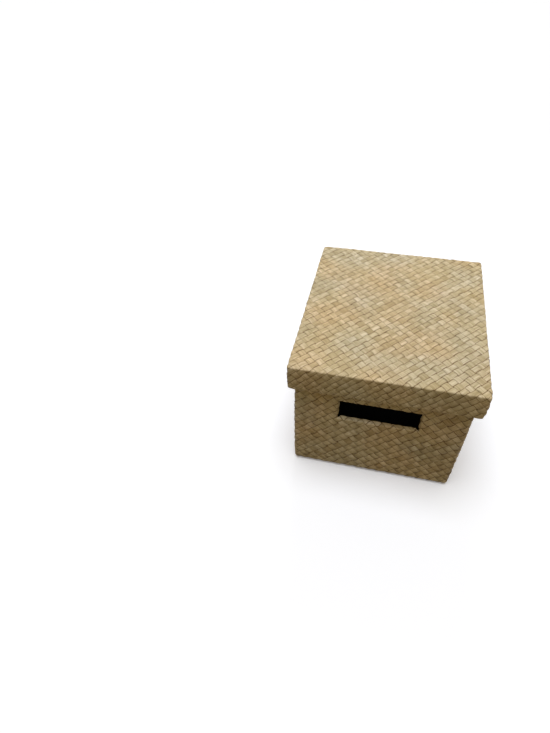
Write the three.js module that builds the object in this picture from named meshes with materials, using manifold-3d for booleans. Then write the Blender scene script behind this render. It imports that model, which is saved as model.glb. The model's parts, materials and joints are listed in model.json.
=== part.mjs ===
// A storage box of stiff board covered with a woven leaf mat. A tray-shaped lid slides down
// over the body, and each short wall has a hand hole.
// Millimetres, +Z up, front towards -Y, origin in the middle of the underside.
import * as THREE from "three";
import { mergeVertices } from "three/addons/utils/BufferGeometryUtils.js";
import Module from "manifold-3d";

// Driving dimensions: the whole box
const lidWidth = 260;
const lidDepth = 300;
const totalHeight = 220;
const skirtHeight = 42;

// Driving dimensions: sheet thicknesses
const matThickness = 1.8;
const bodyBoard = 3;
const lidBoard = 2.5;
const liningThickness = 0.8;
const baseSheetThickness = 1;

// Driving dimensions: clearances
const glueGap = 0.3;
const lidSideClearance = 1.3;
const lidRestGap = 0.3;

// Driving dimensions: rounding of the boards' outer edges under the mats
const lidEase = 2.4;
const baseEase = 3.9;
const uprightExtra = 1;

// Driving dimensions: folds and turned-in edges of the mats
const foldRadius = 2;
const rimLip = 16;
const skirtLip = 12;
const baseHem = 18;
const baseSheetMargin = 8;

// Driving dimensions: the hand holes
const holeWidth = 115;
const holeHeight = 38;
const holeCorner = 3;
const holeBelowRim = 55.5;

const arcSegments = 6;

// How far each surface lies inside the lid's outer face, from the outside inwards
const lidMatIn = matThickness;
const lidBoardOut = lidMatIn + glueGap;
const lidBoardIn = lidBoardOut + lidBoard;
const lidLiningOut = lidBoardIn + glueGap;
const lidLiningIn = lidLiningOut + liningThickness;
const lidLipIn = lidLiningOut + matThickness;
const bodyMatOut = lidLipIn + lidSideClearance;
const bodyMatIn = bodyMatOut + matThickness;
const bodyBoardOut = bodyMatIn + glueGap;
const bodyBoardIn = bodyBoardOut + bodyBoard;
const bodyLiningOut = bodyBoardIn + glueGap;
const bodyLiningIn = bodyLiningOut + liningThickness;
const bodyLipIn = bodyLiningOut + matThickness;

// Heights, from the floor up to the body's lining
const hemLow = baseSheetThickness + glueGap;
const hemHigh = hemLow + matThickness;
const bodyBoardLow = hemHigh + glueGap;
const baseBoardHigh = bodyBoardLow + bodyBoard;
const baseLiningLow = baseBoardHigh + glueGap;
const baseLiningHigh = baseLiningLow + liningThickness;
const wallLiningLow = baseLiningHigh + glueGap;

// Heights, from the lid's top down to the body's rim
const lidMatUnder = totalHeight - matThickness;
const lidBoardHigh = lidMatUnder - glueGap;
const lidBoardLow = lidBoardHigh - lidBoard;
const lidRimHigh = lidBoardLow - glueGap;
const lidLiningHigh = lidBoardLow - glueGap;
const lidLiningLow = lidLiningHigh - liningThickness;
const bodyRim = lidLiningLow - lidRestGap;
const rimFoldUnder = bodyRim - matThickness;
const bodyBoardHigh = rimFoldUnder - glueGap;
const rimLipLow = bodyRim - rimLip;
const wallLiningHigh = rimLipLow - glueGap;

// Heights at the lower edge of the lid's skirt
const skirtLow = totalHeight - skirtHeight;
const skirtFoldHigh = skirtLow + matThickness;
const lidRimLow = skirtFoldHigh + glueGap;
const skirtLipHigh = skirtLow + skirtLip;
const skirtLiningLow = skirtLipHigh + glueGap;
const skirtLiningHigh = lidLiningLow - glueGap;

// Rounding of the lid's and the body's upright edges and of the body's lower edge, layer by layer
const lidCarcass = { corner: lidEase };
const lidRoom = { corner: lidCarcass.corner + glueGap };
const lidOutside = { corner: lidRoom.corner + matThickness, under: foldRadius, over: foldRadius };
const bodyCarcass = { corner: baseEase + uprightExtra, under: baseEase };
const bodyRoom = { corner: bodyCarcass.corner + glueGap, under: bodyCarcass.under + glueGap };
const bodyOutside = {
  corner: bodyRoom.corner + matThickness,
  under: bodyRoom.under + matThickness,
  over: foldRadius,
};

const holeMiddle = bodyRim - holeBelowRim - holeHeight / 2;
const holeWrap = matThickness;
const holeCut = matThickness + glueGap;

const wasm = await Module();
wasm.setup();

const materials = {
  mat: new THREE.MeshStandardMaterial({ color: 0xc4b082, roughness: 0.6, metalness: 0 }),
  board: new THREE.MeshStandardMaterial({ color: 0x9b8a6e, roughness: 0.9, metalness: 0 }),
  lining: new THREE.MeshStandardMaterial({ color: 0x191613, roughness: 0.95, metalness: 0 }),
  baseSheet: new THREE.MeshStandardMaterial({ color: 0x231d17, roughness: 0.9, metalness: 0 }),
};

function solidFrom(geometry) {
  geometry.deleteAttribute("normal");
  geometry.deleteAttribute("uv");
  const merged = mergeVertices(geometry);
  return new wasm.Manifold(
    new wasm.Mesh({
      numProp: 3,
      vertProperties: merged.attributes.position.array,
      triVerts: new Uint32Array(merged.index.array),
    }),
  );
}

function meshFrom(name, solid, material) {
  const { vertProperties, triVerts } = solid.getMesh();
  const geometry = new THREE.BufferGeometry();
  geometry.setAttribute("position", new THREE.BufferAttribute(vertProperties, 3));
  geometry.setIndex(new THREE.BufferAttribute(triVerts, 1));
  const mesh = new THREE.Mesh(geometry, material);
  mesh.name = name;
  return mesh;
}

function roundedRectangle(width, height, corner) {
  const x = width / 2;
  const y = height / 2;
  const shape = new THREE.Shape();
  shape.moveTo(corner - x, -y);
  shape.lineTo(x - corner, -y);
  shape.absarc(x - corner, corner - y, corner, -Math.PI / 2, 0);
  shape.lineTo(x, y - corner);
  shape.absarc(x - corner, y - corner, corner, 0, Math.PI / 2);
  shape.lineTo(corner - x, y);
  shape.absarc(corner - x, y - corner, corner, Math.PI / 2, Math.PI);
  shape.lineTo(-x, corner - y);
  shape.absarc(corner - x, corner - y, corner, Math.PI, 1.5 * Math.PI);
  return shape;
}

const widthAt = (inset) => lidWidth - 2 * inset;
const depthAt = (inset) => lidDepth - 2 * inset;

// A plain block as wide and deep as the box at an inset, between two heights.
function block(inset, low, high) {
  const geometry = new THREE.BoxGeometry(widthAt(inset), depthAt(inset), high - low);
  geometry.translate(0, 0, (low + high) / 2);
  return solidFrom(geometry);
}

// A closed solid through level outlines with equal numbers of points, from the lowest up.
function loft(outlines) {
  const count = outlines[0].points.length;
  const top = (outlines.length - 1) * count;
  const positions = outlines.flatMap(({ points, z }) => points.flatMap(({ x, y }) => [x, y, z]));
  const index = [];
  for (let low = 0; low < top; low += count) {
    for (let here = 0; here < count; here += 1) {
      const a = low + here;
      const b = low + ((here + 1) % count);
      index.push(a, b, b + count, a, b + count, a + count);
    }
  }
  for (let here = 1; here < count - 1; here += 1) {
    index.push(0, here + 1, here, top, top + here, top + here + 1);
  }
  const geometry = new THREE.BufferGeometry();
  geometry.setAttribute("position", new THREE.Float32BufferAttribute(positions, 3));
  geometry.setIndex(index);
  return solidFrom(geometry);
}

// Steps round a quarter circle from level to upright: how far in from the wall and from the edge.
function quarterSteps(radius) {
  if (radius === 0) {
    return [{ inwards: 0, past: 0 }];
  }
  return Array.from({ length: arcSegments + 1 }, (_, step) => {
    const turn = (step / arcSegments) * (Math.PI / 2);
    return { inwards: radius * (1 - Math.sin(turn)), past: radius * (1 - Math.cos(turn)) };
  });
}

// The block with its upright edges rounded, and its lower and upper edges too where a radius is given.
function easedBlock(inset, low, high, { corner, under = 0, over = 0 }) {
  const outlineAt = (inwards, z) => {
    const width = widthAt(inset + inwards);
    const depth = depthAt(inset + inwards);
    const { shape } = roundedRectangle(width, depth, corner - inwards).extractPoints(arcSegments);
    return { points: shape.slice(0, -1), z };
  };
  const lower = quarterSteps(under).map(({ inwards, past }) => outlineAt(inwards, low + past));
  const upper = quarterSteps(over).map(({ inwards, past }) => outlineAt(inwards, high - past));
  return loft([...lower, ...upper.reverse()]);
}

function ring(outerInset, innerInset, low, high) {
  return block(outerInset, low, high).subtract(block(innerInset, low - glueGap, high + glueGap));
}

// A bar through both hand holes, larger than their clear size by a margin all round.
function handHoleBar(margin) {
  const outline = roundedRectangle(
    holeWidth + 2 * margin,
    holeHeight + 2 * margin,
    holeCorner + margin,
  );
  const geometry = new THREE.ExtrudeGeometry(outline, {
    depth: lidDepth,
    bevelEnabled: false,
    curveSegments: arcSegments,
  });
  geometry.translate(0, 0, -lidDepth / 2);
  geometry.rotateX(Math.PI / 2);
  geometry.translate(0, 0, holeMiddle);
  return solidFrom(geometry);
}

// Splits an upright sheet that runs round the box into its four walls. The front and rear walls
// run the full width, and the side walls stand between them.
function fourWalls(sheetBlock, outerInset, innerInset, low, high) {
  const thickness = innerInset - outerInset;
  const sideLength = depthAt(innerInset) - 2 * glueGap;
  const slab = (width, depth, x, y) => {
    const geometry = new THREE.BoxGeometry(width, depth, high - low);
    geometry.translate(x, y, (low + high) / 2);
    return sheetBlock.intersect(solidFrom(geometry));
  };
  const x = (widthAt(outerInset) - thickness) / 2;
  const y = (depthAt(outerInset) - thickness) / 2;
  return {
    front: slab(widthAt(outerInset), thickness, 0, -y),
    rear: slab(widthAt(outerInset), thickness, 0, y),
    left: slab(thickness, sideLength, -x, 0),
    right: slab(thickness, sideLength, x, 0),
  };
}

// The turned-in mat that lines both hand holes as far as the inside of the lining.
function handHoleSleeves() {
  const wallZone = ring(bodyMatOut, bodyLiningIn, bodyBoardLow, bodyBoardHigh);
  return handHoleBar(holeWrap).intersect(wallZone);
}

function bodyMat() {
  const carcassRoom = easedBlock(bodyMatIn, hemHigh, rimFoldUnder, bodyRoom);
  const mouth = block(bodyLipIn, rimFoldUnder - glueGap, bodyRim + glueGap);
  const underside = block(bodyMatOut + baseHem, hemLow - glueGap, hemHigh + glueGap);
  const lip = ring(bodyLiningOut, bodyLipIn, rimLipLow, bodyRim - matThickness / 2);
  return easedBlock(bodyMatOut, hemLow, bodyRim, bodyOutside)
    .subtract(carcassRoom)
    .subtract(mouth)
    .subtract(underside)
    .add(lip)
    .add(handHoleSleeves())
    .subtract(handHoleBar(0));
}

function lidMat() {
  const carcassRoom = easedBlock(lidMatIn, skirtFoldHigh, lidMatUnder, lidRoom);
  const mouth = block(lidLipIn, skirtLow - glueGap, skirtFoldHigh + glueGap);
  const lip = ring(lidLiningOut, lidLipIn, skirtLow + matThickness / 2, skirtLipHigh);
  return easedBlock(0, skirtLow, totalHeight, lidOutside)
    .subtract(carcassRoom)
    .subtract(mouth)
    .add(lip);
}

function addWalls(group, walls, nameOf, material) {
  for (const [side, solid] of Object.entries(walls)) {
    group.add(meshFrom(nameOf(side), solid, material));
  }
}

// The front and rear walls of a set, opened for the mat that is turned in through the hand holes.
function withHandHoles(walls) {
  const cut = handHoleBar(holeCut);
  return { ...walls, front: walls.front.subtract(cut), rear: walls.rear.subtract(cut) };
}

function bodyGroup() {
  const group = new THREE.Group();
  const carcass = easedBlock(bodyBoardOut, bodyBoardLow, bodyBoardHigh, bodyCarcass);
  const boards = fourWalls(carcass, bodyBoardOut, bodyBoardIn, bodyBoardLow, bodyBoardHigh);
  addWalls(group, withHandHoles(boards), (side) => `${side}_board`, materials.board);

  const liningBlock = block(bodyLiningOut, wallLiningLow, wallLiningHigh);
  const linings = fourWalls(
    liningBlock,
    bodyLiningOut,
    bodyLiningIn,
    wallLiningLow,
    wallLiningHigh,
  );
  addWalls(group, withHandHoles(linings), (side) => `${side}_lining`, materials.lining);

  const baseBoard = carcass.intersect(block(bodyLiningOut, bodyBoardLow, baseBoardHigh));
  const baseLining = block(bodyLiningOut, baseLiningLow, baseLiningHigh);
  const baseSheet = block(bodyMatOut + baseSheetMargin, 0, baseSheetThickness);
  group.add(meshFrom("base_board", baseBoard, materials.board));
  group.add(meshFrom("base_lining", baseLining, materials.lining));
  group.add(meshFrom("base_sheet", baseSheet, materials.baseSheet));
  group.add(meshFrom("body_mat", bodyMat(), materials.mat));
  return group;
}

function lidGroup() {
  const group = new THREE.Group();
  const carcass = easedBlock(lidBoardOut, lidRimLow, lidRimHigh, lidCarcass);
  const rims = fourWalls(carcass, lidBoardOut, lidBoardIn, lidRimLow, lidRimHigh);
  addWalls(group, rims, (side) => `lid_${side}_rim`, materials.board);

  const liningBlock = block(lidLiningOut, skirtLiningLow, skirtLiningHigh);
  const linings = fourWalls(
    liningBlock,
    lidLiningOut,
    lidLiningIn,
    skirtLiningLow,
    skirtLiningHigh,
  );
  addWalls(group, linings, (side) => `lid_${side}_lining`, materials.lining);

  const topBoard = easedBlock(lidBoardOut, lidBoardLow, lidBoardHigh, lidCarcass);
  const topLining = block(lidLiningOut, lidLiningLow, lidLiningHigh);
  group.add(meshFrom("lid_top_board", topBoard, materials.board));
  group.add(meshFrom("lid_top_lining", topLining, materials.lining));
  group.add(meshFrom("lid_mat", lidMat(), materials.mat));
  return group;
}

const box = new THREE.Group();
box.add(bodyGroup(), lidGroup());

export default box;
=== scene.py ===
"""Dresses the woven box: two mats of interlaced leaf strips over the boards, cloth lining, paper base."""
import json
import math
from collections import namedtuple

import bpy
import numpy as np
from mathutils import Euler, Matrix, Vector


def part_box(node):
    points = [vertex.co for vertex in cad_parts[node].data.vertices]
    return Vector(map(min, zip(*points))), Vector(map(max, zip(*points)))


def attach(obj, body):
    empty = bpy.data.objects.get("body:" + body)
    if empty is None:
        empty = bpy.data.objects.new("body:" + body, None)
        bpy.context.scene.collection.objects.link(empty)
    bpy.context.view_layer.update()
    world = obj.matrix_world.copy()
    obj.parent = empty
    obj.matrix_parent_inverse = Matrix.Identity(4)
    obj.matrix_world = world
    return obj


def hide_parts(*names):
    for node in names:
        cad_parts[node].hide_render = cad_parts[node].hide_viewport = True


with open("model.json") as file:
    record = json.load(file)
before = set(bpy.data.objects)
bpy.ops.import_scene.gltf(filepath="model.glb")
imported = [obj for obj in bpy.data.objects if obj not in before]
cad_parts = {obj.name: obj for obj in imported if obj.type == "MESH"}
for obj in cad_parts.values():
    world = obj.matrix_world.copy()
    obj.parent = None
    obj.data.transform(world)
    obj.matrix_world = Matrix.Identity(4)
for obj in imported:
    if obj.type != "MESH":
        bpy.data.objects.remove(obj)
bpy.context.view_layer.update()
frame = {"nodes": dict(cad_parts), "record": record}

MM = 0.001

# The mats as the construction has them, with radii measured on their outside
MAT = 1.8 * MM
GLUE = 0.3 * MM
FOLD = 2.0 * MM
LID_CORNER = 4.5 * MM
BODY_CORNER = 7.0 * MM
BASE_FOLD = 6.0 * MM
RIM_LIP = 16 * MM
SKIRT_LIP = 12 * MM
HEM = 10 * MM
HOLE_WIDTH = 115 * MM
HOLE_HEIGHT = 38 * MM
HOLE_TOP = 158.5 * MM

# A small fold's radius at the middle of the mat, halfway through its thickness
FOLD_MID = FOLD - MAT / 2
FOLD_ARC = FOLD_MID * math.pi / 2

# Each mat's two sets of strips: spacing, rise over the other set, darkness of the painted edges (browned
# leaf edges and painted shade between strips), spread of tones
StripSet = namedtuple("StripSet", "pitch rise edge tones")
Weave = namedtuple("Weave", "first second lean crown seed")
LID_WEAVE = Weave(
    first=StripSet(pitch=9.3 * MM, rise=0.5 * MM, edge=1.5, tones=0.45),
    second=StripSet(pitch=10.5 * MM, rise=0.75 * MM, edge=0.8, tones=0.6),
    lean=math.radians(46.5),
    crown=0.24 * MM,
    seed=11,
)
BODY_WEAVE = Weave(
    first=StripSet(pitch=11.9 * MM, rise=0.8 * MM, edge=1.25, tones=1.0),
    second=StripSet(pitch=10.3 * MM, rise=0.75 * MM, edge=1.15, tones=1.0),
    lean=math.radians(45.5),
    crown=0.33 * MM,
    seed=23,
)

# Leaf strips of both mats: section and unevenness
STRIP_THICK = 0.36 * MM
STRIP_GAP = 0.24 * MM
PITCH_SPREAD = 0.07
DIP_SHARE = 0.55
RISE_POWER = 0.85
RISE_SPREAD = 0.25
STRIP_WANDER = 0.3 * MM
STRIP_TWIST = 0.28 * MM
WIDTH_SPREAD = 0.03
EDGE_SHADE_SPREAD = 0.3
SPARE_STRIPS = 3
OVER_KNOTS = (0.0, 0.12, 0.38, 0.62, 0.88)
UNDER_KNOTS = (0.0, 0.15, 0.85)
TOP_ACROSS = (-1.0, -0.75, 0.0, 0.75, 1.0)
BOTTOM_ACROSS = (0.0,)

# Lengths of the waves that a strip's place, width, twist and painted edge darkness follow, in millimetres
WANDER_WAVES = (55, 130, 23)
WIDTH_WAVES = (40, 90)
TWIST_WAVES = (50, 17)
EDGE_SHADE_WAVES = (45, 110)

# The slow waves of a whole sheet, each radian of them this many millimetres long, and of their bends
SHEET_U = 21
SHEET_U_BEND = 43
SHEET_V = 17
SHEET_V_BEND = 37

# How far the mats stand off their boards, and the shares of the wall where the body's mat is held
SHEET_WAVE = 0.5 * MM
SKIRT_SWELL = 0.5 * MM
WALL_SWELL = 0.2 * MM
HOLE_HOLD = 12 * MM
HELD_BELOW = 0.1
HELD_ABOVE = 0.85
FLAP_SPRING = 0.25

# Steps that divide a mat round its folds and upright corners
EDGE_STEPS = 3
INNER_STEPS = 2
BASE_STEPS = 4
CORNER_STEPS = 4

# Points closer than the first are joined, and cut-off bits of strip below the second are dropped
WELD_STEP = 1e-4 * MM
CRUMB_AREA = 60 * MM * MM

# From this value of its side column a point lies on a strip's top
TOP_SIDE = 0.999

# Edges that turn more than this stay sharp
SHARP_TURN = math.radians(50)

# Columns of a flat mat's points
U, V, H, ALONG, ACROSS, EDGE_SHADE, TONE, SHADE, SIDE = range(9)
COLUMNS = 9

# Corners of a square about the origin, in the order in which the walls begin
SQUARE = ((-1, -1), (1, -1), (1, 1), (-1, 1))

# The floor looks white, throws back only a little warm light and lies just under the box
FLOOR_HALF = 12.0
FLOOR_LEVEL = -0.2 * MM
FLOOR_BOUNCE = (0.13, 0.095, 0.045, 1)
FLOOR_WHITE = (0.98, 0.98, 0.98, 1)
FLOOR_GLOW = (0.98, 1.0, 1.15, 1)
FLOOR_GLOW_STRENGTH = 0.15

# Even fill, a wide sun overhead and a weak lamp behind, with places in metres
WHITE = (1.0, 1.0, 1.0, 1.0)
FILL_COLOUR = (1.0, 0.83, 0.46, 1.0)
FILL_STRENGTH = 0.267
SUN_PLACE = (-0.05, -0.035, 1.0)
SUN_STRENGTH = 2.31
SUN_COLOUR = (0.84, 0.893, 1.0)
SUN_WIDTH = math.radians(36)
REAR_PLACE = (-0.1, 0.7, 0.78)
REAR_TARGET = (0.0, 0.0, 0.2)
REAR_WATTS = 1.8
REAR_COLOUR = (0.9, 0.94, 1.0)
REAR_SIZE = 0.4

# Camera fitted to the outline of the box in the 550 x 733 frame
PHOTO_HEIGHT = 733
FOCAL_PIXELS = 486.1
SENSOR = 36.0
CLIP_START = 10 * MM
CAMERA_PLACE = (-25.7 * MM, -584.0 * MM, 682.9 * MM)
CAMERA_TURN = (44.08, 1.74, 13.63)


def span(node):
    """Lowest and highest corner of a construction node as arrays."""
    low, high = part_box(node)
    return np.array(low), np.array(high)


def srgb(red, green, blue):
    """Linear colour, with alpha, of a display colour given from 0 to 255."""
    def linear(value):
        value /= 255
        return value / 12.92 if value <= 0.04045 else ((value + 0.055) / 1.055) ** 2.4
    return (linear(red), linear(green), linear(blue), 1.0)


def smooth_step(value, low, high):
    """Goes smoothly from 0 at low to 1 at high."""
    share = np.clip((value - low) / (high - low), 0, 1)
    return share * share * (3 - 2 * share)


def outside(signs, limits):
    """Rectangle of a flat mat past limits, on the sides that the signs say."""
    edge = signs * limits
    return np.where(signs > 0, edge, -np.inf), np.where(signs > 0, np.inf, edge)


class Section:
    """A mat's section: straight runs joined by quarter-round folds that all turn the same way."""

    def __init__(self, start, runs, folds, turn):
        self.turn = turn
        self.parts = []
        self.lines = []
        out, up = start
        heading = 0.0
        distance = 0.0
        for run, fold in zip(runs, folds + [None]):
            self.parts.append((distance, out, up, heading, 0.0))
            out += run * math.cos(heading)
            up += run * math.sin(heading)
            distance += run
            if fold is None:
                break
            radius, steps = fold
            bend = turn / radius
            arc = radius * math.pi / 2
            self.parts.append((distance, out, up, heading, bend))
            self.lines += list(distance + np.linspace(0, arc, steps + 1))
            after = heading + turn * math.pi / 2
            out += (math.sin(after) - math.sin(heading)) / bend
            up -= (math.cos(after) - math.cos(heading)) / bend
            heading = after
            distance += arc
        self.length = distance

    def at(self, distance):
        """Place (out, up) and outward direction (out, up) at distances along the section."""
        out = np.zeros_like(distance)
        up = np.zeros_like(distance)
        angle = np.zeros_like(distance)
        for begin, out0, up0, heading, bend in self.parts:
            here = (distance >= begin) | (begin == 0)
            past = distance[here] - begin
            if bend:
                angle[here] = heading + bend * past
                out[here] = out0 + (np.sin(angle[here]) - math.sin(heading)) / bend
                up[here] = up0 - (np.cos(angle[here]) - math.cos(heading)) / bend
            else:
                angle[here] = heading
                out[here] = out0 + past * math.cos(heading)
                up[here] = up0 + past * math.sin(heading)
        return out, up, self.turn * np.sin(angle), -self.turn * np.cos(angle)


class Lid:
    """The lid's mat: a flat top whose four flaps fold down over the skirt and in under its edge."""

    def __init__(self):
        low, high = span("lid_mat")
        board_low, _ = span("lid_right_rim")
        self.half = high[:2]
        self.core = self.half - LID_CORNER
        self.lining_face = self.half[0] - board_low[0] + GLUE
        self.lip_face = self.lining_face + MAT
        radius = LID_CORNER - MAT / 2
        self.flap_half = radius * math.pi / 4
        flat = radius - FOLD_MID
        skirt = high[2] - low[2] - 2 * FOLD
        under = self.lining_face - 2 * FOLD_MID
        self.section = Section(
            start=(0.0, high[2] - MAT / 2),
            runs=[flat, skirt, under, SKIRT_LIP - FOLD],
            folds=[(FOLD_MID, EDGE_STEPS), (FOLD_MID, EDGE_STEPS), (FOLD_MID, INNER_STEPS)],
            turn=-1,
        )
        self.skirt_begin = flat + FOLD_ARC
        self.skirt_end = self.skirt_begin + skirt
        self.corner_end = self.skirt_end + FOLD_ARC + flat
        self.high = self.core + self.section.length
        self.low = -self.high

    def lines(self):
        """Division lines of the flat mat as (direction, offset, low, high)."""
        found = []
        for axis, direction in enumerate(np.eye(2)):
            lip_begin = (1 - direction) * (self.core + self.corner_end)
            for u_sign, v_sign in ((1, 1), (1, -1), (-1, 1), (-1, -1)):
                signs = np.array([u_sign, v_sign])
                sign = signs[axis]
                for line in [0.0] + self.section.lines:
                    found.append((direction, sign * (self.core[axis] + line), *outside(signs, np.zeros(2))))
                for line in (self.flap_half / 2, self.flap_half, self.corner_end):
                    found.append((direction, sign * (self.core[axis] + line), *outside(signs, self.core)))
                found.append((direction, sign * self.lip_limit(axis), *outside(signs, lip_begin)))
        return found

    def lip_limit(self, axis):
        """Half length of the turned-in lips: the side lips pass the front and rear ones."""
        return self.half[axis] - (self.lip_face if axis == 0 else self.lining_face)

    def beyond(self, points):
        """How far points lie past the flat top, along each axis."""
        return np.maximum(np.abs(points[:, :2]) - self.core, 0)

    def keep(self, middles):
        """Which faces stay, given their middles: the corner squares are cut away."""
        over = self.beyond(middles)
        corner = (over > self.flap_half).all(axis=1)
        hem_corner = (over > 0).all(axis=1) & (over.max(axis=1) > self.corner_end)
        sides = np.abs(middles[:, :2])
        front_lip = (over[:, 1] > self.corner_end) & (sides[:, 0] > self.lip_limit(0))
        side_lip = (over[:, 0] > self.corner_end) & (sides[:, 1] > self.lip_limit(1))
        return ~(corner | hem_corner | front_lip | side_lip)

    def zones(self, middles):
        """The lid's mat is all one zone."""
        return np.zeros(len(middles), int)

    def swell(self, points):
        """How far the mat stands off its board: uneven on top, fuller at mid skirt."""
        distance = self.beyond(points).max(axis=1)
        down = np.clip((distance - self.skirt_begin) / (self.skirt_end - self.skirt_begin), 0, 1)
        loose = 1 - smooth_step(distance, self.skirt_end, self.corner_end)
        return loose * SHEET_WAVE * sheet_wave(points) + SKIRT_SWELL * np.sin(math.pi * down)

    def place(self, points, zones):
        """Where the flat mat's points lie on the lid."""
        over = self.beyond(points)
        sign = np.sign(points[:, :2])
        distance = over.max(axis=1)
        least = 1e-12
        side_share = over[:, 0] / np.clip(over[:, 1], least, self.flap_half)
        front_share = over[:, 1] / np.clip(over[:, 0], least, self.flap_half)
        quarter = math.pi / 4
        on_front = over[:, 1] >= over[:, 0]
        angle = np.where(on_front, quarter * side_share, math.pi / 2 - quarter * front_share)
        out, up, out_normal, up_normal = self.section.at(distance)
        height = points[:, H]
        reach = np.where(distance > 0, out + height * out_normal, 0)
        base = np.minimum(np.abs(points[:, :2]), self.core) * sign
        placed = np.empty((len(points), 3))
        placed[:, 0] = base[:, 0] + sign[:, 0] * reach * np.sin(angle)
        placed[:, 1] = base[:, 1] + sign[:, 1] * reach * np.cos(angle)
        placed[:, 2] = up + height * up_normal
        return placed

    def picture_place(self, corners):
        """Flat place of each face corner in the square that holds the whole mat."""
        return corners / (2 * self.high.max()) + 0.5


class HandHole:
    """A hand hole in the body's flat mat, with four slit flaps folded in through it."""

    def __init__(self, middle, out_of_wall, along_wall, flat_depth):
        self.middle = middle
        self.out_of_wall = out_of_wall
        self.along_wall = along_wall
        self.half = np.array([HOLE_WIDTH / 2, HOLE_HEIGHT / 2]) + FOLD
        self.depth = FOLD_ARC + flat_depth

    def lines(self):
        """Division lines along the flaps' folds and ends, and along the four slits."""
        found = []
        steps = list(np.linspace(0, FOLD_ARC, EDGE_STEPS + 1)) + [self.depth]
        for axis, direction in enumerate(np.eye(2)):
            for sign in (1, -1):
                edge = self.middle[axis] + sign * self.half[axis]
                found += [(direction, edge - sign * step) for step in steps]
        for u_sign in (1, -1):
            for v_sign in (1, -1):
                corner = self.middle + self.half * (u_sign, v_sign)
                slit = np.array([u_sign, -v_sign]) / math.sqrt(2)
                found.append((slit, slit @ corner))
        return [(*line, self.middle - self.half, self.middle + self.half) for line in found]

    def inward(self, points):
        """Distance inside the right, left, top and bottom edge."""
        away = points[:, :2] - self.middle
        return np.stack([self.half - away, self.half + away], axis=2).reshape(-1, 4)

    def zones(self, middles):
        """Flap number from 1 to 4 of each face, 0 outside the hole and -1 where it is cut out."""
        inward = self.inward(middles)
        nearest = inward.min(axis=1)
        flap = 1 + inward.argmin(axis=1)
        return np.where(nearest <= 0, 0, np.where(nearest > self.depth, -1, flap))

    def place(self, points, flap, body):
        """Where points of one flap lie, folded in from the wall."""
        distance = self.inward(points)[:, flap - 1]
        axis, side = divmod(flap - 1, 2)
        sign = 1 - 2 * side
        edge = points.copy()
        edge[:, axis] = self.middle[axis] + sign * self.half[axis]
        edge[:, H] = 0
        into_hole = -sign * (self.along_wall if axis == 0 else np.array([0.0, 0.0, 1.0]))
        angle = np.minimum(distance, FOLD_ARC) / FOLD_MID
        flat = np.maximum(distance - FOLD_ARC, 0)
        across = FOLD_MID * np.sin(angle) + FLAP_SPRING * flat
        deep = FOLD_MID * (1 - np.cos(angle)) + flat
        height = points[:, H]
        placed = body.place_on_walls(edge)
        placed += np.outer(across + height * np.sin(angle), into_hole)
        placed += np.outer(height * np.cos(angle) - deep, self.out_of_wall)
        return placed


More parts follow.
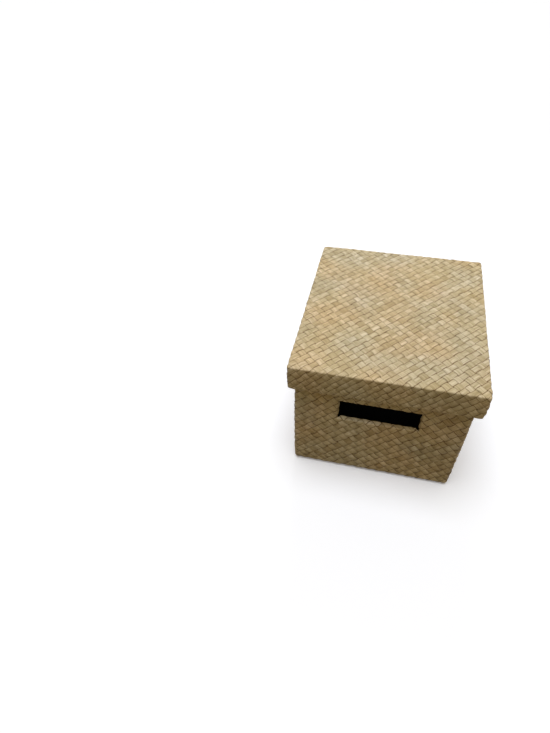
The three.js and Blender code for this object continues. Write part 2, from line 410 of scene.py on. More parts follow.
class Body:
    """The body's mat: a band round the four walls, turned under the base and in over the rim."""

    def __init__(self):
        low, high = span("body_mat")
        board_low, _ = span("right_board")
        self.half = high[:2]
        self.core = self.half - BODY_CORNER
        self.lining_face = self.half[0] - board_low[0] + GLUE
        self.lip_face = self.lining_face + MAT
        self.radius = BODY_CORNER - MAT / 2
        self.corner_arc = self.radius * math.pi / 2
        self.hem = HEM - BODY_CORNER
        base_mid = BASE_FOLD - MAT / 2
        under = self.hem + self.radius - base_mid
        wall = high[2] - low[2] - BASE_FOLD - FOLD
        rim = self.lining_face - 2 * FOLD_MID
        self.section = Section(
            start=(-self.hem, low[2] + MAT / 2),
            runs=[under, wall, rim, RIM_LIP - FOLD],
            folds=[(base_mid, BASE_STEPS), (FOLD_MID, EDGE_STEPS), (FOLD_MID, INNER_STEPS)],
            turn=1,
        )
        self.wall_begin = under + base_mid * math.pi / 2
        self.wall_floor = low[2] + BASE_FOLD
        self.rim_corner = self.wall_begin + wall + FOLD_ARC + self.radius - FOLD_MID
        lid_low, _ = span("lid_mat")
        self.skirt_level = self.from_height(lid_low[2])
        lengths = [part for axis in (0, 1, 0, 1) for part in (2 * self.core[axis], self.corner_arc)]
        self.starts = np.concatenate([[0], np.cumsum(lengths)])
        self.round = self.starts[-1]
        seam = self.round / 2 + self.core[0] + self.corner_arc / 2
        self.low = np.array([seam - self.round, 0.0])
        self.high = np.array([seam, self.section.length])
        self.holes = self.hand_holes()

    def hand_holes(self):
        """The front and the rear hand hole. Their flaps reach in as far as the lining."""
        _, lining_high = span("front_lining")
        flat_depth = self.half[1] - FOLD + lining_high[1]
        level = self.from_height(HOLE_TOP - HOLE_HEIGHT / 2)
        front = np.array([0.0, level])
        rear = np.array([self.round / 2, level])
        along = np.array([1.0, 0.0, 0.0])
        out = np.array([0.0, -1.0, 0.0])
        return [HandHole(front, out, along, flat_depth), HandHole(rear, -out, -along, flat_depth)]

    def from_height(self, height):
        """Distance along the section of a height on the walls."""
        return self.wall_begin + height - self.wall_floor

    def station(self, u):
        """Stretch number round the box, 0 to 7 from the front wall, and the distance into it."""
        along = np.mod(u + self.core[0], self.round)
        stretch = np.clip(np.searchsorted(self.starts, along, side="right") - 1, 0, 7)
        return stretch, along - self.starts[stretch]

    def lines(self):
        """Division lines of the flat mat as (direction, offset, low, high)."""
        round_box, up = np.eye(2)
        found = [(up, level, self.low, self.high) for level in self.section.lines]
        for stretch in range(1, 8, 2):
            begin = self.starts[stretch] - self.core[0]
            for corner in (begin, begin - self.round):
                low = np.array([corner - HEM, 0])
                high = np.array([corner + self.corner_arc + HEM, self.section.length])
                for share in np.linspace(0, 1, CORNER_STEPS + 1):
                    found.append((round_box, corner + share * self.corner_arc, low, high))
                hem_high = np.array([high[0], self.hem])
                lip_low = np.array([low[0], self.rim_corner])
                found.append((up, self.hem, low, high))
                found.append((up, self.rim_corner, low, high))
                for cut in (corner - self.hem, corner + self.corner_arc + self.hem):
                    found.append((round_box, cut, low, hem_high))
                lip_cut = self.lip_face - BODY_CORNER
                for cut in (corner - lip_cut, corner + self.corner_arc + lip_cut):
                    found.append((round_box, cut, lip_low, high))
        for hole in self.holes:
            found += hole.lines()
        return found

    def lip_limit(self, axis):
        """Half length of the turned-in lips: the side lips pass the front and rear ones."""
        return self.half[axis] - (self.lip_face if axis == 0 else self.lining_face)

    def keep(self, middles):
        """Which faces stay, given their middles: turned edges are cut out at the corners."""
        stretch, along = self.station(middles[:, U])
        at_corner = stretch % 2 == 1
        axis = stretch // 2 % 2
        level = middles[:, V]
        from_middle = np.abs(along - self.core[axis])
        lip_limit = np.array([self.lip_limit(0), self.lip_limit(1)])[axis]
        hem_limit = self.core[axis] - np.where(axis == 1, self.hem, 0)
        hem = (level < self.hem) & (at_corner | (from_middle > hem_limit))
        lip = (level > self.rim_corner) & (at_corner | (from_middle > lip_limit))
        stays = ~(hem | lip)
        for hole in self.holes:
            stays &= hole.zones(middles) >= 0
        return stays

    def zones(self, middles):
        """Number of the hand holes' flap that a face is in, 0 on the walls."""
        found = np.zeros(len(middles), int)
        for number, hole in enumerate(self.holes):
            flap = hole.zones(middles)
            found = np.where(flap > 0, 4 * number + flap, found)
        return found

    def swell(self, points):
        """How far the mat stands off its board: fuller at mid wall, held at its edges and holes."""
        level = points[:, V]
        up = np.clip((level - self.wall_begin) / (self.skirt_level - self.wall_begin), 0, 1)
        loose = smooth_step(up, 0, HELD_BELOW) * (1 - smooth_step(up, HELD_ABOVE, 1))
        for hole in self.holes:
            loose *= smooth_step(-hole.inward(points).min(axis=1), 0, HOLE_HOLD)
        return loose * (SHEET_WAVE * sheet_wave(points) + WALL_SWELL * np.sin(math.pi * up))

    def place_on_walls(self, points):
        """Where the flat mat's points lie on the wrap, leaving the hand holes aside."""
        stretch, along = self.station(points[:, U])
        at_corner = stretch % 2 == 1
        turn = np.where(at_corner, along / self.radius, 0.0)
        angle = (stretch // 2 - 1) * math.pi / 2 + turn
        normal = np.stack([np.cos(angle), np.sin(angle)], axis=1)
        tangent = np.stack([-normal[:, 1], normal[:, 0]], axis=1)
        corners = np.array(SQUARE) * self.core
        base = corners[(stretch + 1) // 2 % 4]
        base = base + np.where(at_corner, 0.0, along)[:, None] * tangent
        out, up, out_normal, up_normal = self.section.at(points[:, V])
        height = points[:, H]
        flat = base + (out + height * out_normal)[:, None] * normal
        return np.column_stack([flat, up + height * up_normal])

    def place(self, points, zones):
        """Where the flat mat's points lie: zone 0 is the wrap, the others the holes' flaps."""
        placed = self.place_on_walls(points)
        for number, hole in enumerate(self.holes):
            for flap in range(1, 5):
                here = zones == 4 * number + flap
                placed[here] = hole.place(points[here], flap, self)
        return placed

    def picture_place(self, corners):
        """Flat place of each face corner: the four walls lie two by two in a square."""
        stretch, _ = self.station(corners[:, :, 0].mean(axis=1))
        wall = stretch // 2
        start = self.starts[2 * wall] - self.core[0] - self.corner_arc / 2
        along = np.mod(corners[:, :, 0] - start[:, None] + self.round / 4, self.round) - self.round / 4
        size = 2 * self.core.max() + 2 * self.corner_arc
        tile = 0.48
        margin = 0.01
        u = along / size * tile + margin + 0.5 * (wall % 2)[:, None]
        v = corners[:, :, 1] / size * tile + margin + 0.5 * (wall // 2)[:, None]
        return np.stack([u, v], axis=2)


def sheet_wave(points):
    """Slow unevenness of a hand-made sheet, from 0 to 1."""
    u, v = points[:, U] / MM, points[:, V] / MM
    first = np.sin(u / SHEET_U + 2 * np.sin(v / SHEET_U_BEND))
    second = np.sin(v / SHEET_V + 2 * np.sin(u / SHEET_V_BEND) + 1)
    return (first + second + 2) / 4


def strip_centres(rng, pitch, low, high):
    """Centre lines of one set of strips, a little unevenly spaced, that cover low to high."""
    count = int((high - low) / pitch) + 2 * SPARE_STRIPS + 2
    steps = pitch * (1 + PITCH_SPREAD * rng.standard_normal(count))
    return low - SPARE_STRIPS * pitch + np.cumsum(steps)


def rise_and_dip(rng, crossing, first_over, full_rise):
    """Places along a strip and its height there, over and under the crossing strips in turn."""
    edges = (crossing[1:] + crossing[:-1]) / 2
    along = []
    height = []
    for cell in range(len(edges) - 1):
        over = (cell + first_over) % 2 == 0
        knots = np.array(OVER_KNOTS if over else UNDER_KNOTS)
        rise = full_rise * (1 + RISE_SPREAD * rng.uniform(-1, 1))
        bend = rise * np.sin(math.pi * knots) ** RISE_POWER
        along.append(edges[cell] + knots * (edges[cell + 1] - edges[cell]))
        height.append(bend if over else -DIP_SHARE * bend)
    return np.concatenate(along), np.concatenate(height)


def slow_wave(rng, along, lengths):
    """A smooth irregular wave of about unit size, made of waves of some lengths in millimetres."""
    turns = [along / (length * MM) + rng.uniform() for length in lengths]
    return sum(np.sin(2 * math.pi * turn) for turn in turns) / len(lengths)


def one_strip(rng, kind, centre, width, along, height, crown):
    """Rings of points round one leaf strip that runs along its mat."""
    top = np.array(TOP_ACROSS)
    across = np.concatenate([top, BOTTOM_ACROSS])
    side = np.where(np.arange(len(across)) < len(top), 1.0, -1.0)
    lift = side * STRIP_THICK / 2 - crown * across ** 2
    drift = STRIP_WANDER * slow_wave(rng, along, WANDER_WAVES)
    half = width / 2 * (1 + WIDTH_SPREAD * slow_wave(rng, along, WIDTH_WAVES))
    twist = STRIP_TWIST * slow_wave(rng, along, TWIST_WAVES)
    # Darkness of the strip's edges: partly browned leaf edge, partly painted shade in the crevice beside it
    line = kind.edge * (1 + EDGE_SHADE_SPREAD * slow_wave(rng, along, EDGE_SHADE_WAVES))
    line *= 1 + EDGE_SHADE_SPREAD * rng.uniform(-1, 1)
    rings = np.empty((len(along), len(across), COLUMNS))
    rings[:, :, U] = along[:, None]
    rings[:, :, V] = centre + drift[:, None] + half[:, None] * across
    rings[:, :, H] = height[:, None] + lift + twist[:, None] * across
    rings[:, :, ALONG] = along[:, None]
    rings[:, :, ACROSS] = across
    rings[:, :, EDGE_SHADE] = line[:, None] * (np.abs(across) == 1)
    rings[:, :, TONE] = 0.5 + kind.tones * rng.uniform(-0.5, 0.5)
    rings[:, :, SHADE] = rng.normal()
    rings[:, :, SIDE] = side
    return rings


def ring_faces(count, size):
    """Triangles round a strip of so many rings of a size, facing outwards."""
    ring = np.arange(count - 1)[:, None] * size
    here = np.arange(size)[None, :]
    a, b = ring + here, ring + (here + 1) % size
    d, c = a + size, b + size
    halves = [np.stack([a, d, c], axis=2), np.stack([a, c, b], axis=2)]
    return np.concatenate(halves).reshape(-1, 3)


def strip_set(rng, kind, crown, centres, crossing, parity, lean):
    """All strips of one direction as points and triangles in the flat mat."""
    spacing = np.abs(np.gradient(centres))
    points = []
    faces = []
    total = 0
    for index, centre in enumerate(centres):
        along, height = rise_and_dip(rng, crossing, index + parity, kind.rise)
        rings = one_strip(rng, kind, centre, spacing[index] - STRIP_GAP, along, height, crown)
        faces.append(total + ring_faces(len(along), rings.shape[1]))
        points.append(rings.reshape(-1, COLUMNS))
        total += len(points[-1])
    points = np.concatenate(points)
    cos, sin = math.cos(lean), math.sin(lean)
    u = points[:, U] * cos - points[:, V] * sin
    v = points[:, U] * sin + points[:, V] * cos
    points[:, U], points[:, V] = u, v
    return points, np.concatenate(faces)


def flat_weave(weave, low, high):
    """Both sets of strips of a mat that covers a rectangle, in flat coordinates."""
    rng = np.random.default_rng(weave.seed)
    corners = np.array([[x, y] for x in (low[0], high[0]) for y in (low[1], high[1])])
    cos, sin = math.cos(weave.lean), math.sin(weave.lean)
    s = corners @ (cos, sin)
    t = corners @ (-sin, cos)
    rows = strip_centres(rng, weave.first.pitch, t.min(), t.max())
    columns = strip_centres(rng, weave.second.pitch, s.min(), s.max())
    first = strip_set(rng, weave.first, weave.crown, rows, columns, 0, weave.lean)
    second = strip_set(rng, weave.second, weave.crown, -columns, rows, 1, weave.lean + math.pi / 2)
    return first, second


def divide(points, faces, direction, offset):
    """Divides the triangles that cross a line of the flat mat."""
    side = points[:, :2] @ direction - offset
    above = (side > 0)[faces]
    count = above.sum(axis=1)
    crossing = (count == 1) | (count == 2)
    lone = np.argmax(above[crossing] == (count[crossing] == 1)[:, None], axis=1)
    order = (lone[:, None] + np.arange(3)) % 3
    a, b, c = np.take_along_axis(faces[crossing], order, axis=1).T
    edges = np.sort(np.stack([np.concatenate([a, a]), np.concatenate([b, c])], axis=1), axis=1)
    edges, index = np.unique(edges, axis=0, return_inverse=True)
    first, second = edges.T
    share = side[first] / (side[first] - side[second])
    added = points[first] + (points[second] - points[first]) * share[:, None]
    ab, ac = index.reshape(2, -1) + len(points)
    parts = [np.stack(corners, axis=1) for corners in ((a, ab, ac), (ab, b, c), (ab, c, ac))]
    return np.vstack([points, added]), np.vstack([faces[~crossing], *parts])


def divide_near(points, faces, direction, offset, low, high):
    """Divides along a line only the triangles that reach into a rectangle."""
    # One bit for each side of the rectangle that a point lies past
    past = (points[:, :2] <= low) @ (1, 2) + (points[:, :2] >= high) @ (4, 8)
    a, b, c = past[faces].T
    near = (a & b & c) == 0
    points, divided = divide(points, faces[near], direction, offset)
    return points, np.concatenate([faces[~near], divided])


def middles_of(points, faces):
    """Middle of each face, in all columns."""
    return points[faces].mean(axis=1)


def trim(points, faces, low, high):
    """Cuts the strips off at the edges of the flat mat."""
    for axis in (0, 1):
        for bound, sign in ((low[axis], -1), (high[axis], 1)):
            points, faces = divide(points, faces, np.eye(2)[axis], bound)
            too_far = sign * (middles_of(points, faces)[:, axis] - bound) > 0
            faces = faces[~too_far]
    return points, faces


def weld(placed, faces):
    """Joins points at one place. Gives the points kept, the new faces and which faces stay."""
    grid = np.round(placed / WELD_STEP).astype(np.int64)
    _, kept, joined = np.unique(grid, axis=0, return_index=True, return_inverse=True)
    faces = joined.reshape(-1)[faces]
    a, b, c = faces.T
    return kept, faces, (a != b) & (b != c) & (c != a)


def large_parts(placed, faces):
    """Which faces belong to connected parts that are larger than a crumb."""
    # Each point takes the lowest number among the points that it is joined to
    label = np.arange(len(placed))
    while True:
        least = label[faces].min(axis=1)
        spread = label.copy()
        for corner in faces.T:
            np.minimum.at(spread, corner, least)
        spread = spread[spread]
        if (spread == label).all():
            break
        label = spread
    a, b, c = placed[faces].transpose(1, 0, 2)
    area = np.linalg.norm(np.cross(b - a, c - a), axis=1) / 2
    part = label[faces[:, 0]]
    return np.bincount(part, area)[part] > CRUMB_AREA


def open_loops(faces):
    """Closed loops of points along the open edges of faces, none passing a point twice."""
    edges = np.concatenate([faces[:, [0, 1]], faces[:, [1, 2]], faces[:, [2, 0]]])
    size = faces.max() + 1
    key = edges[:, 0] * size + edges[:, 1]
    back = edges[:, 1] * size + edges[:, 0]
    following = {}
    for start, end in edges[~np.isin(key, back)].tolist():
        following.setdefault(start, []).append(end)
    loops = []
    while following:
        path = [next(iter(following))]
        while path[-1] in following:
            ends = following[path[-1]]
            step = ends.pop()
            if not ends:
                del following[path[-1]]
            if step in path:
                begin = path.index(step)
                loops.append(path[begin:])
                del path[begin + 1:]
            else:
                path.append(step)
    return loops


def zip_loop(placed, top, loop):
    """Triangles over a cut end, between its run along the strip's top and its run underneath."""
    starts = np.flatnonzero(top & ~np.roll(top, 1))
    if len(starts) != 1:
        return [(loop[0], loop[k + 1], loop[k]) for k in range(1, len(loop) - 1)]
    loop = loop[starts[0]:] + loop[:starts[0]]
    upper = loop[:top.sum()]
    lower = loop[top.sum():][::-1]
    found = []
    i = j = 0
    while i < len(upper) - 1 or j < len(lower) - 1:
        along_top = j == len(lower) - 1
        if i < len(upper) - 1 and not along_top:
            top_chord = np.linalg.norm(placed[upper[i + 1]] - placed[lower[j]])
            along_top = top_chord <= np.linalg.norm(placed[upper[i]] - placed[lower[j + 1]])
        if along_top:
            found.append((upper[i + 1], upper[i], lower[j]))
            i += 1
        else:
            found.append((lower[j], lower[j + 1], upper[i]))
            j += 1
    return found


def cut_ends(points, placed, faces):
    """Triangles that close the open ends which cutting leaves on the strips."""
    on_top = points[:, SIDE] > TOP_SIDE
    caps = [zip_loop(placed, on_top[loop], loop) for loop in open_loops(faces)]
    return np.array([face for cap in caps for face in cap], int).reshape(-1, 3)


def single_faces(faces):
    """Which faces share their three corners with no other face."""
    _, group, count = np.unique(np.sort(faces, axis=1), axis=0, return_inverse=True, return_counts=True)
    return count[group.reshape(-1)] == 1


def lay_on(cover, strips):
    """Cuts flat strips to their mat and lays them on the box.

    Gives the points' columns, their places, the faces and the flat place of each face's corners.
    """
    points, faces = trim(*strips, cover.low, cover.high)
    for line in cover.lines():
        points, faces = divide_near(points, faces, *line)
    faces = faces[cover.keep(middles_of(points, faces))]
    zones = cover.zones(middles_of(points, faces))
    # A point that two zones share becomes two points, so that flaps part at their slits
    zone_count = 1 + zones.max()
    pairs, faces = np.unique(faces * zone_count + zones[:, None], return_inverse=True)
    faces = faces.reshape(-1, 3)
    points = points[pairs // zone_count]
    points[:, H] += cover.swell(points)
    placed = cover.place(points, pairs % zone_count)
    flat = points[faces][:, :, :2]
    kept, faces, real = weld(placed, faces)
    points, placed = points[kept], placed[kept]
    faces, flat = faces[real], flat[real]
    stays = single_faces(faces)
    faces, flat = faces[stays], flat[stays]
    stays = large_parts(placed, faces)
    faces, flat = faces[stays], flat[stays]
    caps = cut_ends(points, placed, faces)
    faces = np.concatenate([faces, caps])
    flat = np.concatenate([flat, points[caps][:, :, :2]])
    stays = single_faces(faces)
    used, faces = np.unique(faces[stays], return_inverse=True)
    return points[used], placed[used], faces.reshape(-1, 3), flat[stays]


def mat_piece(name, cover, strips, material):
    """One set of a mat's strips as a mesh object."""
    points, placed, faces, flat = lay_on(cover, strips)
    mesh = bpy.data.meshes.new(name)
    mesh.from_pydata(placed.tolist(), [], faces.tolist())
    for label, column in zip(("along", "across", "edge", "tone", "shade"), range(ALONG, SIDE)):
        values = mesh.attributes.new(label, "FLOAT", "POINT").data
        values.foreach_set("value", points[:, column].astype(np.float32))
    layer = mesh.uv_layers.new(name="OFBake")
    layer.data.foreach_set("uv", cover.picture_place(flat).reshape(-1).astype(np.float32))
    mesh.shade_smooth()
    mesh.set_sharp_from_angle(angle=SHARP_TURN)
    mesh.materials.append(material)
    piece = bpy.data.objects.new(name, mesh)
    bpy.context.scene.collection.objects.link(piece)
    return piece


class Nodes:
    """Short calls for building a material's node tree."""

    def __init__(self, name):
        self.material = bpy.data.materials.new(name)
        self.material.use_nodes = True
        self.tree = self.material.node_tree
        self.shader = self.tree.nodes["Principled BSDF"]

    def add(self, kind, **settings):
        node = self.tree.nodes.new(kind)
        for key, value in settings.items():
            setattr(node, key, value)
        return node

    def feed(self, socket, value):
        if isinstance(value, bpy.types.NodeSocket):
            self.tree.links.new(value, socket)
        else:
            socket.default_value = value

    def attribute(self, name):
        return self.add("ShaderNodeAttribute", attribute_name=name).outputs["Fac"]

    def math(self, operation, *values):
        node = self.add("ShaderNodeMath", operation=operation)
        for socket, value in zip(node.inputs, values):
            self.feed(socket, value)
        return node.outputs[0]

    def vector(self, x, y, z):
        node = self.add("ShaderNodeCombineXYZ")
        for socket, value in zip(node.inputs, (x, y, z)):
            self.feed(socket, value)
        return node.outputs[0]

    def grain_place(self, along, across, offset, grain):
        """Place on a strip for noise that has this grain along and across it."""
        lengthwise = self.math("MULTIPLY", along, grain[0])
        crosswise = self.math("MULTIPLY", across, grain[1])
        return self.vector(lengthwise, crosswise, offset)

    def object_place(self):
        return self.add("ShaderNodeTexCoord").outputs["Object"]

    def noise(self, vector, scale=1.0, detail=2.0, roughness=0.5):
        node = self.add("ShaderNodeTexNoise")
        self.feed(node.inputs["Vector"], vector)
        self.feed(node.inputs["Scale"], scale)
        self.feed(node.inputs["Detail"], detail)
        self.feed(node.inputs["Roughness"], roughness)
        return node.outputs["Fac"]

    def ramp(self, value, stops):
        node = self.add("ShaderNodeValToRGB")
        elements = node.color_ramp.elements
        while len(elements) < len(stops):
            elements.new(0.5)
        for element, (place, colour) in zip(elements, stops):
            element.position = place
            element.color = colour
        self.feed(node.inputs["Fac"], value)
        return node.outputs["Color"]

    def spread(self, value, before, after=(0.0, 1.0)):
        """Takes a value from one range to another and holds it there."""
        node = self.add("ShaderNodeMapRange")
        for socket, number in zip(node.inputs, (value, *before, *after)):
            self.feed(socket, number)
        return node.outputs["Result"]

    def mix(self, blend, share, first, second):
        node = self.add("ShaderNodeMix", data_type="RGBA", blend_type=blend)
        self.feed(node.inputs["Factor"], share)
        self.feed(node.inputs["A"], first)
        self.feed(node.inputs["B"], second)
        return node.outputs["Result"]

    def bump(self, height, distance, strength=1.0):
        node = self.add("ShaderNodeBump")
        self.feed(node.inputs["Distance"], distance)
        self.feed(node.inputs["Strength"], strength)
        self.feed(node.inputs["Height"], height)
        self.feed(self.shader.inputs["Normal"], node.outputs["Normal"])


STRIP_TONES = ((0.0, srgb(185, 165, 125)), (0.5, srgb(203, 186, 148)), (1.0, srgb(217, 201, 168)))
# Painted shade: dark brown strip edges, partly the leaf's own browned edges and partly the shade in the
# crevices between strips
EDGE_AND_CREVICE_SHADE_TONE = srgb(96, 62, 18)
GREYER = (0.97, 0.99, 1.05, 1.0)
BROWNER = (1.015, 0.985, 0.945, 1.0)
RUSTIER = (1.04, 0.98, 0.945, 1.0)

# Grain of the leaf: turns of noise per metre along a strip and per half width across it
FIBRE_GRAIN = (40.0, 2.2)
BLOTCH_GRAIN = (34.0, 0.5)
PATCH_SCALE = 17.0
RUST_SCALE = 15.0
STRIP_STRIDE = 97.0

# Stretches of the noise, or of the edge line, over which the leaf goes from one look to the other
PATCH_RANGE = (0.35, 0.65)
RUST_RANGE = (0.45, 0.65)
GRAIN_RANGE = (0.3, 0.7)
GLOSS_RANGE = (0.2, 0.8)
EDGE_SHADE_RANGE = (0.2, 1.0)
EDGE_SHADE_SHARE = (0.0, 0.95)

# How much these change a strip's brightness, and how green and blue follow red as it changes
FIBRE_LIGHT = (0.71, 1.24)
BLOTCH_LIGHT = (0.92, 1.08)
SHADE_LIGHT = 0.025
GREEN_POWER = 1.12
BLUE_POWER = 1.55
LEAF_SPECULAR = 0.16
LEAF_ROUGHNESS = (0.5, 0.68)
LEAF_BUMP = 0.08 * MM

# Lining cloth, and the board and paper: turns of noise per metre, tones and depth of relief
LINING_THREAD = 0.9 * MM
LINING_FUZZ = 900.0
# Near-black lining tones: partly a guess at the cloth, partly painted shade for the dark inside of the
# closed box
LINING_SHADE_TONES = ((0.3, srgb(18, 16, 15)), (0.75, srgb(38, 34, 31)))
LINING_BUMP = 0.12 * MM
SHEET_MOTTLE = 120.0
SHEET_FIBRE = 1400.0
SHEET_BUMP = 0.06 * MM


def leaf_material():
    """Dried leaf: each strip has its own tone, with fibres along it and darker, browner edges, painted
    partly as the leaf's own browned edges and partly as shade in the crevices between strips.
    """
    nodes = Nodes("woven_leaf")
    along = nodes.attribute("along")
    across = nodes.attribute("across")
    edge = nodes.attribute("edge")
    tone = nodes.attribute("tone")
    shade = nodes.attribute("shade")
    offset = nodes.math("MULTIPLY", tone, STRIP_STRIDE)
    fibre = nodes.noise(nodes.grain_place(along, across, offset, FIBRE_GRAIN), 1.0, 4.0, 0.65)
    blotch = nodes.noise(nodes.grain_place(along, across, offset, BLOTCH_GRAIN), 1.0, 2.0)
    patches = nodes.noise(nodes.object_place(), PATCH_SCALE, 1.0)
    rust = nodes.noise(nodes.object_place(), RUST_SCALE, 1.0)

    colour = nodes.ramp(tone, STRIP_TONES)
    weathering = nodes.mix("MIX", nodes.spread(patches, PATCH_RANGE), GREYER, BROWNER)
    colour = nodes.mix("MULTIPLY", 1.0, colour, weathering)
    rusting = nodes.mix("MIX", nodes.spread(rust, RUST_RANGE), WHITE, RUSTIER)
    colour = nodes.mix("MULTIPLY", 1.0, colour, rusting)
    blotches = nodes.spread(blotch, GRAIN_RANGE, BLOTCH_LIGHT)
    bright = nodes.math("ADD", blotches, nodes.math("MULTIPLY", shade, SHADE_LIGHT))
    bright = nodes.math("MULTIPLY", bright, nodes.spread(fibre, GRAIN_RANGE, FIBRE_LIGHT))
    green = nodes.math("POWER", bright, GREEN_POWER)
    blue = nodes.math("POWER", bright, BLUE_POWER)
    colour = nodes.mix("MULTIPLY", 1.0, colour, nodes.vector(bright, green, blue))
    # Painted shade: the edges go to the dark brown edge tone, partly browned leaf and partly shade between
    # the strips
    colour = nodes.mix("MIX", nodes.spread(edge, EDGE_SHADE_RANGE, EDGE_SHADE_SHARE), colour, EDGE_AND_CREVICE_SHADE_TONE)
    nodes.feed(nodes.shader.inputs["Base Color"], colour)
    nodes.feed(nodes.shader.inputs["Roughness"], nodes.spread(fibre, GLOSS_RANGE, LEAF_ROUGHNESS))
    nodes.feed(nodes.shader.inputs["Specular IOR Level"], LEAF_SPECULAR)
    nodes.bump(fibre, LEAF_BUMP)
    return nodes.material


def cloth_material():
    """Matt near-black lining cloth with a fine plain weave, its darkness partly painted shade for the
    inside of the closed box.
    """
    nodes = Nodes("lining_cloth")
    place = nodes.object_place()
    split = nodes.add("ShaderNodeSeparateXYZ")
    nodes.feed(split.inputs[0], place)
    thread = 2 * math.pi / LINING_THREAD
    waves = [
        nodes.math("SINE", nodes.math("MULTIPLY", split.outputs[axis], thread)) for axis in "XYZ"
    ]
    weave = nodes.math("MULTIPLY", nodes.math("MULTIPLY_ADD", waves[0], waves[1], waves[2]), 0.5)
    fuzz = nodes.noise(place, LINING_FUZZ, 3.0)
    nodes.feed(nodes.shader.inputs["Base Color"], nodes.ramp(fuzz, LINING_SHADE_TONES))
    nodes.feed(nodes.shader.inputs["Roughness"], 0.95)
    nodes.feed(nodes.shader.inputs["Specular IOR Level"], 0.1)
    nodes.bump(nodes.math("ADD", weave, fuzz), LINING_BUMP, 0.6)
    return nodes.material


def fibre_sheet_material(name, dark, light, roughness):
    """Pressed board or paper: a mottled colour with fine fibres."""
    nodes = Nodes(name)
    place = nodes.object_place()
    mottle = nodes.noise(place, SHEET_MOTTLE, 4.0, 0.65)
    fibre = nodes.noise(place, SHEET_FIBRE, 3.0, 0.7)
    share = nodes.math("MULTIPLY_ADD", fibre, 0.5, nodes.math("MULTIPLY", mottle, 0.5))
    nodes.feed(nodes.shader.inputs["Base Color"], nodes.ramp(share, ((0.35, dark), (0.65, light))))
    nodes.feed(nodes.shader.inputs["Roughness"], roughness)
    nodes.bump(fibre, SHEET_BUMP, 0.5)
    return nodes.material


def dress_nodes():
    """Gives the boards, linings and base sheet their finish by their slot in the record."""
    finishes = {
        "board": fibre_sheet_material("greyboard", srgb(98, 82, 58), srgb(136, 117, 88), 0.9),
        "lining": cloth_material(),
        "base_sheet": fibre_sheet_material("base_paper", srgb(33, 28, 23), srgb(52, 45, 38), 0.85),
    }
    for entry in frame["record"]["subparts"]:
        finish = finishes.get(entry["material_slot"])
        if finish:
            mesh = frame["nodes"][entry["node"]].data
            mesh.materials.clear()
            mesh.materials.append(finish)


def weave_mats():
    """Makes the two mats in place of their plain solids."""
    leaf = leaf_material()
    jobs = (
        ("lid", "lid_mat", Lid(), LID_WEAVE),
        ("box", "body_mat", Body(), BODY_WEAVE),
    )
    for body, node, cover, weave in jobs:
        sets = flat_weave(weave, cover.low, cover.high)
        for strips, label in zip(sets, ("first", "second")):
            piece = mat_piece(f"{node}_{label}_strips", cover, strips, leaf)
            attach(piece, body)
            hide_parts(node)


def background_seen(tree):
    """Socket that is 1 where a ray shows the background: to the camera, mirrored or through glass."""
    path = tree.nodes.new("ShaderNodeLightPath")
    seen = path.outputs["Is Camera Ray"]
    for label in ("Is Glossy Ray", "Is Transmission Ray"):
        either = tree.nodes.new("ShaderNodeMath")
        either.operation = "MAXIMUM"
        tree.links.new(seen, either.inputs[0])
        tree.links.new(path.outputs[label], either.inputs[1])
        seen = either.outputs[0]
    return seen


def make_floor():
    """A wide pale floor. It looks white and throws a little warm light back up."""
    mesh = bpy.data.meshes.new("floor")
    corners = [(x * FLOOR_HALF, y * FLOOR_HALF, FLOOR_LEVEL) for x, y in SQUARE]
    mesh.from_pydata(corners, [], [(0, 1, 2, 3)])
    floor = bpy.data.objects.new("floor", mesh)
    bpy.context.scene.collection.objects.link(floor)
    nodes = Nodes("floor_paper")
    seen = background_seen(nodes.tree)
    colour = nodes.mix("MIX", seen, FLOOR_BOUNCE, FLOOR_WHITE)
    nodes.feed(nodes.shader.inputs["Base Color"], colour)
    nodes.feed(nodes.shader.inputs["Roughness"], 1.0)
    nodes.feed(nodes.shader.inputs["Specular IOR Level"], 0.0)
    nodes.feed(nodes.shader.inputs["Emission Color"], FLOOR_GLOW)
    glow = nodes.math("MULTIPLY", seen, FLOOR_GLOW_STRENGTH)
    nodes.feed(nodes.shader.inputs["Emission Strength"], glow)
    mesh.materials.append(nodes.material)


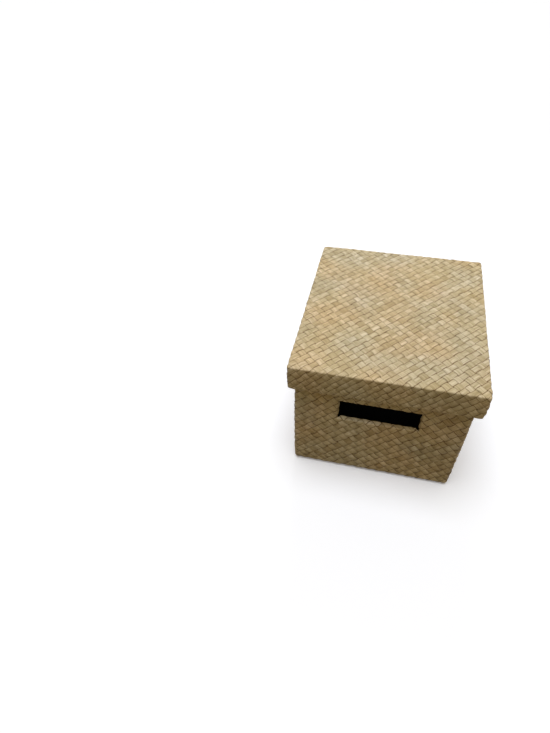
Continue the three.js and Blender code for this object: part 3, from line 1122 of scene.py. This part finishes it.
def add_lamp(name, kind, energy, place, target):
    """A lamp at a place, turned towards a target."""
    lamp = bpy.data.lights.new(name, kind)
    lamp.energy = energy
    holder = bpy.data.objects.new(name, lamp)
    holder.location = place
    holder.rotation_euler = (Vector(target) - Vector(place)).to_track_quat("-Z", "Y").to_euler()
    bpy.context.scene.collection.objects.link(holder)
    return lamp


def make_light():
    """Soft light from above, a weak lamp behind that brings out the sheen, and a weak even fill."""
    world = bpy.data.worlds.new("studio")
    bpy.context.scene.world = world
    world.use_nodes = True
    tree = world.node_tree
    fill = tree.nodes["Background"]
    fill.inputs["Color"].default_value = FILL_COLOUR
    fill.inputs["Strength"].default_value = FILL_STRENGTH
    white = tree.nodes.new("ShaderNodeBackground")
    white.inputs["Color"].default_value = WHITE
    white.inputs["Strength"].default_value = 1.0
    choice = tree.nodes.new("ShaderNodeMixShader")
    tree.links.new(background_seen(tree), choice.inputs["Fac"])
    tree.links.new(fill.outputs[0], choice.inputs[1])
    tree.links.new(white.outputs[0], choice.inputs[2])
    tree.links.new(choice.outputs[0], tree.nodes["World Output"].inputs["Surface"])

    overhead = add_lamp("overhead", "SUN", SUN_STRENGTH, SUN_PLACE, (0, 0, 0))
    overhead.color = SUN_COLOUR
    overhead.angle = SUN_WIDTH
    behind = add_lamp("behind", "AREA", REAR_WATTS, REAR_PLACE, REAR_TARGET)
    behind.color = REAR_COLOUR
    behind.size = REAR_SIZE


def make_camera():
    """The camera at the photograph's viewing angle."""
    data = bpy.data.cameras.new("camera")
    data.sensor_width = SENSOR
    data.lens = FOCAL_PIXELS / PHOTO_HEIGHT * SENSOR
    data.clip_start = CLIP_START
    camera = bpy.data.objects.new("camera", data)
    camera.location = CAMERA_PLACE
    camera.rotation_euler = Euler([math.radians(turn) for turn in CAMERA_TURN])
    bpy.context.scene.collection.objects.link(camera)
    bpy.context.scene.camera = camera


bpy.context.scene.view_settings.view_transform = "Standard"
make_camera()
make_light()
make_floor()
dress_nodes()
weave_mats()
